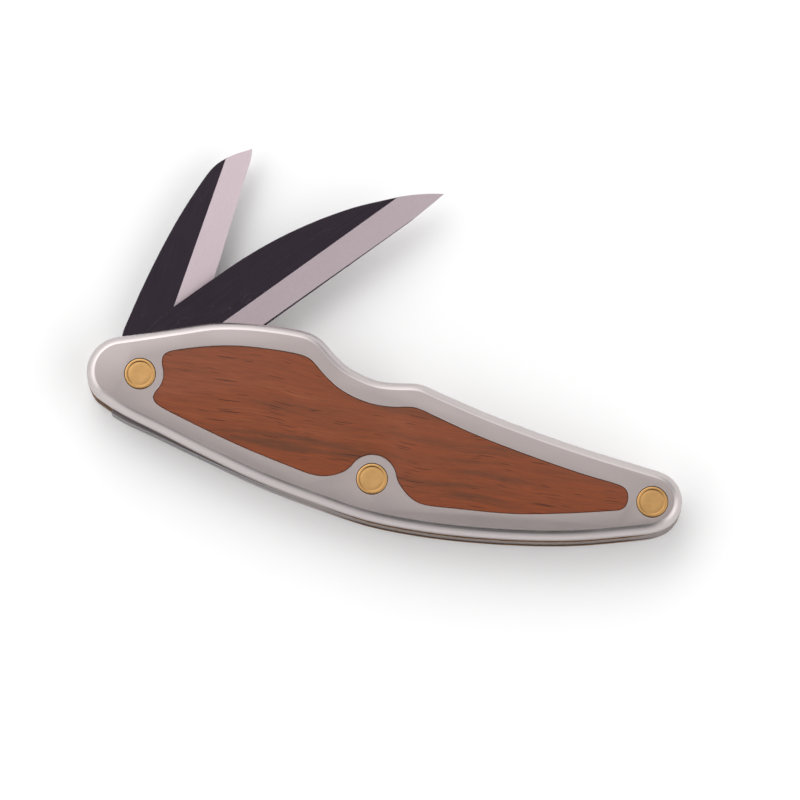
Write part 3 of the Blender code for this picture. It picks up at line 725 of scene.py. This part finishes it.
def make_scale(side, settings, materials):
    """One handle scale: rounded rim, inlay pocket and three rivet seats."""
    low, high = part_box(f"{side}_scale")
    outer, inward = (high.z, -1.0) if side == "front" else (low.z, 1.0)
    inner = low.z if side == "front" else high.z
    outline = eased(section("centre_divider", middle_of("centre_divider"))[0])
    rings = [(inset(outline, width), outer + inward * depth) for width, depth in
             rim_profile(settings.rim_width, settings.rim_break)]
    shell = loft(f"{side}_scale_shell", [*rings, (outline, inner)])
    wood = eased(section(f"{side}_inlay", middle_of(f"{side}_inlay"))[0], blur=INLAY_BLUR)
    seats = [("pocket", wood, settings.pocket_gap, INLAY_RECESS + POCKET_DEPTH, settings.pocket_break)]
    cutters = []
    for name in RIVET_NAMES:
        seats.append((name, circle(rivet_centre(name), RIVET_HEAD_RADIUS), SEAT_GAP, SEAT_DEPTH, SEAT_BREAK))
        cutters.append(bore(f"{side}_{name}_bore", rivet_centre(name), 0.0, CAD_BOX[1].z))
    for name, loop, gap, depth, edge in seats:
        wall = inset(loop, -gap)
        rings = [
            (inset(loop, -(gap + edge + 0.5 * MM)), outer - inward * 0.5 * MM),
            (wall, outer + inward * edge),
            (wall, outer + inward * depth),
        ]
        cutters.append(loft(f"{side}_{name}_seat", rings))
    mesh = carved(shell, cutters)
    faces_then_rim = ((0.985, 0), (0.04, 1), (0.0, 0))
    piece(
        f"{side}_scale_shell", mesh, materials, "handle", [f"{side}_scale"],
        by_slope=faces_then_rim,
    )


def make_inlay(side, settings, material):
    """One wood inlay with a softened upper edge."""
    low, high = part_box(f"{side}_inlay")
    outer, inner, inward = (high.z, low.z, -1.0) if side == "front" else (low.z, high.z, 1.0)
    outline = eased(section(f"{side}_inlay", middle_of(f"{side}_inlay"))[0], blur=INLAY_BLUR)
    radius = settings.edge_radius
    turns = np.linspace(0.0, 0.5 * math.pi, 5)
    rings = [(inset(outline, radius * (1.0 - math.sin(t))), outer + inward * radius * (1.0 - math.cos(t)))
             for t in turns]
    mesh = baked(loft(f"{side}_wood_inlay", [*rings, (outline, inner)]))
    piece(f"{side}_wood_inlay", mesh, [material], "handle", [f"{side}_inlay"], sharp=35.0)


def rivet_profile(settings, top):
    """(radius, height) points down one side of a rivet, from the middle of one head to the other's."""
    edge, dish, rim = settings.edge_break, settings.dish_depth, RIVET_HEAD_RADIUS
    head = [(0.0, dish), (0.5 * rim, 0.9 * dish), (0.68 * rim, 0.75 * dish), (0.74 * rim, 1.0 * dish),
            (0.77 * rim, 1.1 * dish), (0.80 * rim, 0.6 * dish), (0.83 * rim, 0.1 * dish), (0.86 * rim, 0.0)]
    turns = np.linspace(0.0, 0.5 * math.pi, 5)
    head += [(rim - edge * (1.0 - math.sin(turn)), edge * (1.0 - math.cos(turn))) for turn in turns]
    head += [(rim, settings.head_thickness), (settings.shaft_radius, settings.head_thickness)]
    return [(r, top - depth) for r, depth in head] + [(r, depth) for r, depth in reversed(head)]


def build_rivet_tree():
    """Geometry nodes that turn a profile round an upright axis and set it in its place."""
    tree = bpy.data.node_groups.new("Turned Rivet", "GeometryNodeTree")
    for label, kind in (("Profile", "Geometry"), ("Centre", "Vector"), ("Segments", "Int"), ("Material", "Material")):
        tree.interface.new_socket(name=label, in_out="INPUT", socket_type=f"NodeSocket{kind}")
    tree.interface.new_socket(name="Rivet", in_out="OUTPUT", socket_type="NodeSocketGeometry")
    given = tree.nodes.new("NodeGroupInput").outputs
    profile = node(tree, "GeometryNodeMeshToCurve", {"Mesh": given["Profile"]}).outputs[0]
    path = node(tree, "GeometryNodeCurvePrimitiveCircle", {"Resolution": given["Segments"], "Radius": AXIS_RADIUS})
    swept = node(tree, "GeometryNodeCurveToMesh", {"Curve": path.outputs[0], "Profile Curve": profile}).outputs[0]
    merged = node(tree, "GeometryNodeMergeByDistance", {"Geometry": swept, "Distance": 0.002 * MM}).outputs[0]
    position = node(tree, "GeometryNodeInputPosition").outputs[0]
    stored = node(
        tree, "GeometryNodeStoreNamedAttribute", {"Geometry": merged, "Name": "turned"},
        data_type="FLOAT_VECTOR", domain="POINT",
    )
    tree.links.new(position, next(socket for socket in stored.inputs if socket.name == "Value" and socket.enabled))
    point = node(tree, "GeometryNodePoints", {"Count": 1, "Position": given["Centre"]}).outputs[0]
    placed_rivet = node(tree, "GeometryNodeInstanceOnPoints", {"Points": point, "Instance": stored.outputs[0]})
    real = node(tree, "GeometryNodeRealizeInstances", {"Geometry": placed_rivet.outputs[0]}).outputs[0]
    finished = node(tree, "GeometryNodeSetMaterial", {"Geometry": real, "Material": given["Material"]}).outputs[0]
    node(tree, "NodeGroupOutput", {"Rivet": finished})
    return tree


def make_rivet(name, tree, settings, material):
    """One cutler's rivet with two spun heads."""
    points = [(radius - AXIS_RADIUS, -height, 0.0) for radius, height in rivet_profile(settings, CAD_BOX[1].z)]
    mesh = bpy.data.meshes.new(f"{name}_profile")
    mesh.from_pydata(points, [(i, i + 1) for i in range(len(points) - 1)], [])
    obj = linked(f"{name}_profile", mesh)
    modifier = obj.modifiers.new("Turned Rivet", "NODES")
    modifier.node_group = tree
    inputs = {item.name: item.identifier for item in tree.interface.items_tree if item.in_out == "INPUT"}
    modifier[inputs["Centre"]] = rivet_centre(name)
    modifier[inputs["Segments"]] = settings.segments
    modifier[inputs["Material"]] = material
    turned = baked(obj)
    weld(turned)
    replaced = [f"{name}_rivet_post", f"{name}_rivet_sleeve"]
    piece(f"{name}_rivet", turned, [material], "handle", replaced, sharp=40.0)


def ground(name, start_x, end_x, borders, side, middle):
    """A cutter with one ground face, whose upper and lower (y, height) borders vary along the blade."""
    rings = []
    for along in np.linspace(0.0, 1.0, GRIND_STATIONS):
        (upper_y, upper), (lower_y, lower) = borders(along)
        corners = (
            (upper_y, upper), (lower_y, lower), (lower_y, lower + CUTTER_DEPTH), (upper_y, upper + CUTTER_DEPTH)
        )
        x = start_x + along * (end_x - start_x)
        rings.append([(x, y, middle + side * height) for y, height in corners])
    return skinned(name, rings)


def edge_angle(loop):
    """Direction of a blade's straight cutting edge, away from the pivot, for a counter-clockwise outline."""
    ahead = np.roll(loop, -1, axis=0) - loop
    longest = ahead[np.argmax(np.linalg.norm(ahead, axis=1))]
    return math.atan2(longest[1], longest[0])


def make_blade(name, heel_bevel, tip_bevel, honed, settings):
    """One blade: broken spine edges, ground bevels and, on the large blade, a honed edge."""
    low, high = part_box(name)
    middle, half = 0.5 * (low.z + high.z), 0.5 * (high.z - low.z)
    loop = section(name, middle)[0]
    angle = edge_angle(loop)
    turn = Matrix.Rotation(-angle, 2)
    lying = np.array([turn @ Vector(point) for point in loop])
    outline = eased(lying, step=0.3 * MM, blur=0.5 * MM, corner=SHARP_CORNER)
    edge_y = outline[:, 1].min()
    materials = [
        steel_painted_dark(f"{name}_flats", settings.flat, angle),
        satin_steel(f"{name}_bevels", settings.bevel, angle + 0.5 * math.pi),
    ]
    corners = outline[corners_of(outline, FADING_CORNER)]
    nearest = np.min(np.linalg.norm(outline[:, None] - corners[None], axis=2), axis=1)
    edge_break = settings.spine_break * np.clip(nearest / BREAK_FADE - 0.1, 0.0, 1.0)
    rings = [(inset(outline, sideways * edge_break), middle - half + down * settings.spine_break)
             for sideways, down in BREAK_PROFILE]
    rings += [(loop, 2.0 * middle - height) for loop, height in reversed(rings)]
    blank = loft(f"{name}_steel", rings)
    edge_half = settings.honed_thickness if honed else settings.edge_thickness
    slope = (half - edge_half) / heel_bevel

    def bevel(along):
        width = heel_bevel + along * (tip_bevel - heel_bevel)
        rise = (half - edge_half) / width * GRIND_OVERRUN
        return (edge_y + width + GRIND_OVERRUN, half + rise), (edge_y - GRIND_OVERRUN, edge_half - rise)

    def hone(along):
        width = honed * (1.0 - along)
        steep = (edge_half + slope * honed) / honed
        top = edge_half + slope * width
        upper = (edge_y + width + GRIND_OVERRUN, top + steep * GRIND_OVERRUN)
        return upper, (edge_y - GRIND_OVERRUN, top - steep * (GRIND_OVERRUN + width))

    faces = {"bevel": bevel, "hone": hone} if honed else {"bevel": bevel}
    cutters = [
        ground(f"{name}_{kind}_{side:.0f}", settings.plunge, outline[:, 0].max() + 3.0 * MM, borders, side, middle)
        for kind, borders in faces.items() for side in (-1.0, 1.0)
    ]
    cutters.append(bore(f"{name}_bore", (0.0, 0.0), low.z, high.z))
    mesh = carved(blank, cutters)
    mesh.transform(Matrix.Rotation(angle, 4, "Z"))
    # Flats, the honed edge and the broken spine edges take the steel painted dark as a painted dark reflection; the
    # bevels take the satin steel.
    flats_then_bevels = ((0.995, 0), (0.950, 1), (0.0, 0))
    piece(f"{name}_steel", mesh, materials, name, [name], sharp=8.0, by_slope=flats_then_bevels)


def spring_outline(name):
    """Outline of a flush backspring as one strip."""
    arm, base = f"{name}_arm", f"{name}_base"
    pivot = np.array(rivet_centre("spring").xy)
    arm_loop, base_loop = section(arm, middle_of(arm))[0], section(base, middle_of(base))[0]
    back = Matrix.Rotation(-SPRING_LIFT, 2)
    flush = np.array([pivot + np.array(back @ Vector(point - pivot)) for point in arm_loop])
    split = np.linalg.norm(base_loop - pivot, axis=1).min()
    runs = []
    for loop, radius in ((flush, split - 0.1 * MM), (base_loop, split)):
        away = np.abs(np.linalg.norm(loop - pivot, axis=1) - radius) > 0.03 * MM
        away |= loop[:, 0] < pivot[0]
        first = np.flatnonzero(away & ~np.roll(away, 1))
        run = np.roll(loop, -first[0], axis=0)
        runs.append(run[np.roll(away, -first[0])])
    return np.vstack(runs)


def make_spring(name, settings, material):
    """One backspring as a single strip that bends between its rivet and its free end."""
    low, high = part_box(f"{name}_arm")
    outline = spring_outline(name)
    pivot = rivet_centre("spring")
    holes = [circle(centre, BORE_RADIUS) for centre in (pivot, rivet_centre("tail"))]
    loops = [eased(outline, blur=SPRING_BLUR, corner=math.radians(40.0)), *holes]
    mesh = plate(f"{name}_strip", loops, low.z, high.z, settings.edge_break)
    start, end = Vector((pivot.x - BEND_START, 0.0, 0.0)), Vector((SPRING_END_X, 0.0, 0.0))
    places = np.empty(len(mesh.vertices) * 3)
    mesh.vertices.foreach_get("co", places)
    places = places.reshape(-1, 3)
    along = np.clip((places[:, 0] - start.x) / (end.x - start.x), 0.0, 1.0)
    turn = along**2 * (3.0 - 2.0 * along) * SPRING_LIFT
    offset_x, offset_y = places[:, 0] - pivot.x, places[:, 1] - pivot.y
    places[:, 0] = pivot.x + offset_x * np.cos(turn) - offset_y * np.sin(turn)
    places[:, 1] = pivot.y + offset_x * np.sin(turn) + offset_y * np.cos(turn)
    mesh.vertices.foreach_set("co", places.ravel())
    strip = piece(f"{name}_strip", mesh, [material], None, [f"{name}_arm", f"{name}_base"])
    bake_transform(strip)


# ---- Operators -------------------------------------------------------------------------------


class KNIFE_OT_scales(bpy.types.Operator):
    """Build the two aluminium handle scales"""

    bl_idname = "knife.scales"
    bl_label = "Handle Scales"

    def execute(self, context):
        settings = context.scene.knife_scales
        blasted = aluminium("blasted_aluminium", settings.face, 0.40, 0.16 * MM, 0.25)
        rim = aluminium("ground_aluminium", settings.rim, 0.27, 0.3 * MM, 0.03)
        for side in ("front", "back"):
            make_scale(side, settings, [blasted, rim])
        return {"FINISHED"}


class KNIFE_OT_inlays(bpy.types.Operator):
    """Build the two wood inlays"""

    bl_idname = "knife.inlays"
    bl_label = "Wood Inlays"

    def execute(self, context):
        wood = rosewood(context.scene.knife_inlays)
        for side in ("front", "back"):
            make_inlay(side, context.scene.knife_inlays, wood)
        return {"FINISHED"}


class KNIFE_OT_rivets(bpy.types.Operator):
    """Turn the three brass rivets"""

    bl_idname = "knife.rivets"
    bl_label = "Rivets"

    def execute(self, context):
        settings = context.scene.knife_rivets
        tree, brass = build_rivet_tree(), turned_brass(settings)
        for name in RIVET_NAMES:
            make_rivet(name, tree, settings, brass)
        return {"FINISHED"}


class KNIFE_OT_liners(bpy.types.Operator):
    """Finish the brass liners and the centre divider"""

    bl_idname = "knife.liners"
    bl_label = "Liners and Divider"

    def execute(self, context):
        brass = rolled_brass(context.scene.knife_liners)
        for name in ("front_liner", "back_liner", "centre_divider"):
            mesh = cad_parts[name].data
            mesh.materials.clear()
            mesh.materials.append(brass)
        return {"FINISHED"}


class KNIFE_OT_blades(bpy.types.Operator):
    """Grind the two blades"""

    bl_idname = "knife.blades"
    bl_label = "Blades"

    def execute(self, context):
        settings = context.scene.knife_blades
        large = settings.large_bevel
        make_blade("large_blade", large, large, settings.honed_width, settings)
        make_blade("small_blade", settings.small_heel_bevel, settings.small_tip_bevel, 0.0, settings)
        return {"FINISHED"}


class KNIFE_OT_springs(bpy.types.Operator):
    """Build the two backsprings"""

    bl_idname = "knife.springs"
    bl_label = "Backsprings"

    def execute(self, context):
        settings = context.scene.knife_springs
        steel = satin_steel("spring_steel", settings.steel, 0.0, 0.36)
        for name in ("large_spring", "small_spring"):
            make_spring(name, settings, steel)
        return {"FINISHED"}


# The key light: turn from the camera's right, elevation in degrees, distance, size and radiance.
KEY_TURN, KEY_ELEVATION = 110.0, 62.0
KEY_DISTANCE, KEY_SIZE, KEY_RADIANCE = 1.1, 0.5, 0.5
# Where the camera looks, at the height of the front face.
TARGET = Vector((45.69 * MM, 6.68 * MM, CAD_BOX[1].z))
FLOOR_REACH = 4.0
# Soft patches of the light dome: turn from the camera's right, elevation, and change in brightness.
DOME_PATCHES = (
    (-90.0, 58.0, -1.0), (-90.0, 20.0, -0.4), (45.0, 45.0, -0.6),
    (105.0, 50.0, 0.9), (165.0, 48.0, 0.9), (-15.0, 48.0, 0.8),
)


def add_key_light(azimuth, target):
    """A soft panel light aimed at the target, which the camera doesn't see."""
    light = bpy.data.lights.new("key", "AREA")
    light.size = KEY_SIZE
    light.energy = KEY_RADIANCE * math.pi * KEY_SIZE**2
    obj = linked("key", light)
    away = direction(azimuth + math.radians(KEY_TURN), math.radians(KEY_ELEVATION))
    obj.location = target + away * KEY_DISTANCE
    obj.rotation_euler = away.to_track_quat("Z", "Y").to_euler()
    obj.visible_camera = False


def direction(turn, elevation):
    """The unit vector at a turn about the upright axis and an elevation, both in radians."""
    flat = math.cos(elevation)
    return Vector((math.cos(turn) * flat, math.sin(turn) * flat, math.sin(elevation)))


def dome(tree, settings):
    """Brightness of the light dome by direction, dimmer overhead and in its darker patches."""
    towards = node(tree, "ShaderNodeTexCoord").outputs["Generated"]
    height = node(tree, "ShaderNodeSeparateXYZ", {0: towards}).outputs["Z"]
    brightness = ramp(tree, height, 0.80, 0.97, settings.sides, settings.overhead)
    for turn, elevation, change in DOME_PATCHES:
        centre = direction(settings.azimuth + math.radians(turn), math.radians(elevation))
        inputs = {0: towards, 1: centre}
        near = node(tree, "ShaderNodeVectorMath", inputs, operation="DOT_PRODUCT").outputs["Value"]
        brightness = calc(tree, "MULTIPLY_ADD", ramp(tree, near, 0.84, 0.98), change, brightness)
    return brightness


class KNIFE_OT_studio(bpy.types.Operator):
    """Set the floor, the lights and the camera"""

    bl_idname = "knife.studio"
    bl_label = "Studio"

    def execute(self, context):
        settings = context.scene.knife_studio
        right = direction(settings.azimuth, 0.0)
        back = direction(settings.azimuth - 0.5 * math.pi, settings.elevation)
        lens = bpy.data.cameras.new("camera")
        lens.sensor_width = 36.0
        lens.lens = lens.sensor_width * settings.distance / settings.field
        camera = linked("camera", lens)
        turned = Matrix((right, back.cross(right), back)).transposed().to_4x4()
        camera.matrix_world = Matrix.Translation(TARGET + back * settings.distance) @ turned
        context.scene.camera = camera
        floor = bpy.data.meshes.new("floor")
        corners = [(x * FLOOR_REACH, y * FLOOR_REACH, 0.0) for x, y in ((-1, -1), (1, -1), (1, 1), (-1, 1))]
        floor.from_pydata(corners, [], [(0, 1, 2, 3)])
        material, tree, shader, place = new_material("pale_floor", 0.0, 0.2)
        tone = mix(tree, noise(tree, place, 4.0), darker(settings.floor, 0.985), settings.floor)
        tree.links.new(tone, shader["Base Color"])
        shader["Roughness"].default_value = 0.7
        floor.materials.append(material)
        linked("floor", floor)
        add_key_light(settings.azimuth, Vector((TARGET.x, TARGET.y, 0.0)))
        world = bpy.data.worlds.new("studio")
        world.use_nodes = True
        context.scene.world = world
        backdrop = world.node_tree.nodes["Background"]
        world.node_tree.links.new(dome(world.node_tree, settings), backdrop.inputs["Strength"])
        backdrop.inputs["Color"].default_value = (1.0, 1.0, 1.0, 1.0)
        context.scene.view_settings.view_transform = "Standard"
        return {"FINISHED"}


class KNIFE_PT_panel(bpy.types.Panel):
    """Buttons that build the knife"""

    bl_label = "Whittling Knife"
    bl_space_type = "VIEW_3D"
    bl_region_type = "UI"
    bl_category = "Whittling Knife"

    def draw(self, context):
        for group, operator in SECTIONS:
            box = self.layout.box()
            box.operator(operator.bl_idname)
            settings = getattr(context.scene, group)
            for key in settings.bl_rna.properties.keys():
                if key not in ("rna_type", "name"):
                    box.prop(settings, key)


SECTIONS = (
    ("knife_scales", KNIFE_OT_scales),
    ("knife_inlays", KNIFE_OT_inlays),
    ("knife_rivets", KNIFE_OT_rivets),
    ("knife_liners", KNIFE_OT_liners),
    ("knife_blades", KNIFE_OT_blades),
    ("knife_springs", KNIFE_OT_springs),
    ("knife_studio", KNIFE_OT_studio),
)
SETTINGS = {
    "knife_scales": ScaleSettings,
    "knife_inlays": InlaySettings,
    "knife_rivets": RivetSettings,
    "knife_liners": LinerSettings,
    "knife_blades": BladeSettings,
    "knife_springs": SpringSettings,
    "knife_studio": StudioSettings,
}


def register():
    for group, operator in SECTIONS:
        bpy.utils.register_class(SETTINGS[group])
        bpy.utils.register_class(operator)
        setattr(bpy.types.Scene, group, PointerProperty(type=SETTINGS[group]))
    bpy.utils.register_class(KNIFE_PT_panel)


def unregister():
    bpy.utils.unregister_class(KNIFE_PT_panel)
    for group, operator in reversed(SECTIONS):
        delattr(bpy.types.Scene, group)
        bpy.utils.unregister_class(operator)
        bpy.utils.unregister_class(SETTINGS[group])


def main():
    register()
    for _, operator in SECTIONS:
        area, call = operator.bl_idname.split(".")
        getattr(getattr(bpy.ops, area), call)()


if __name__ == "__main__":
    main()
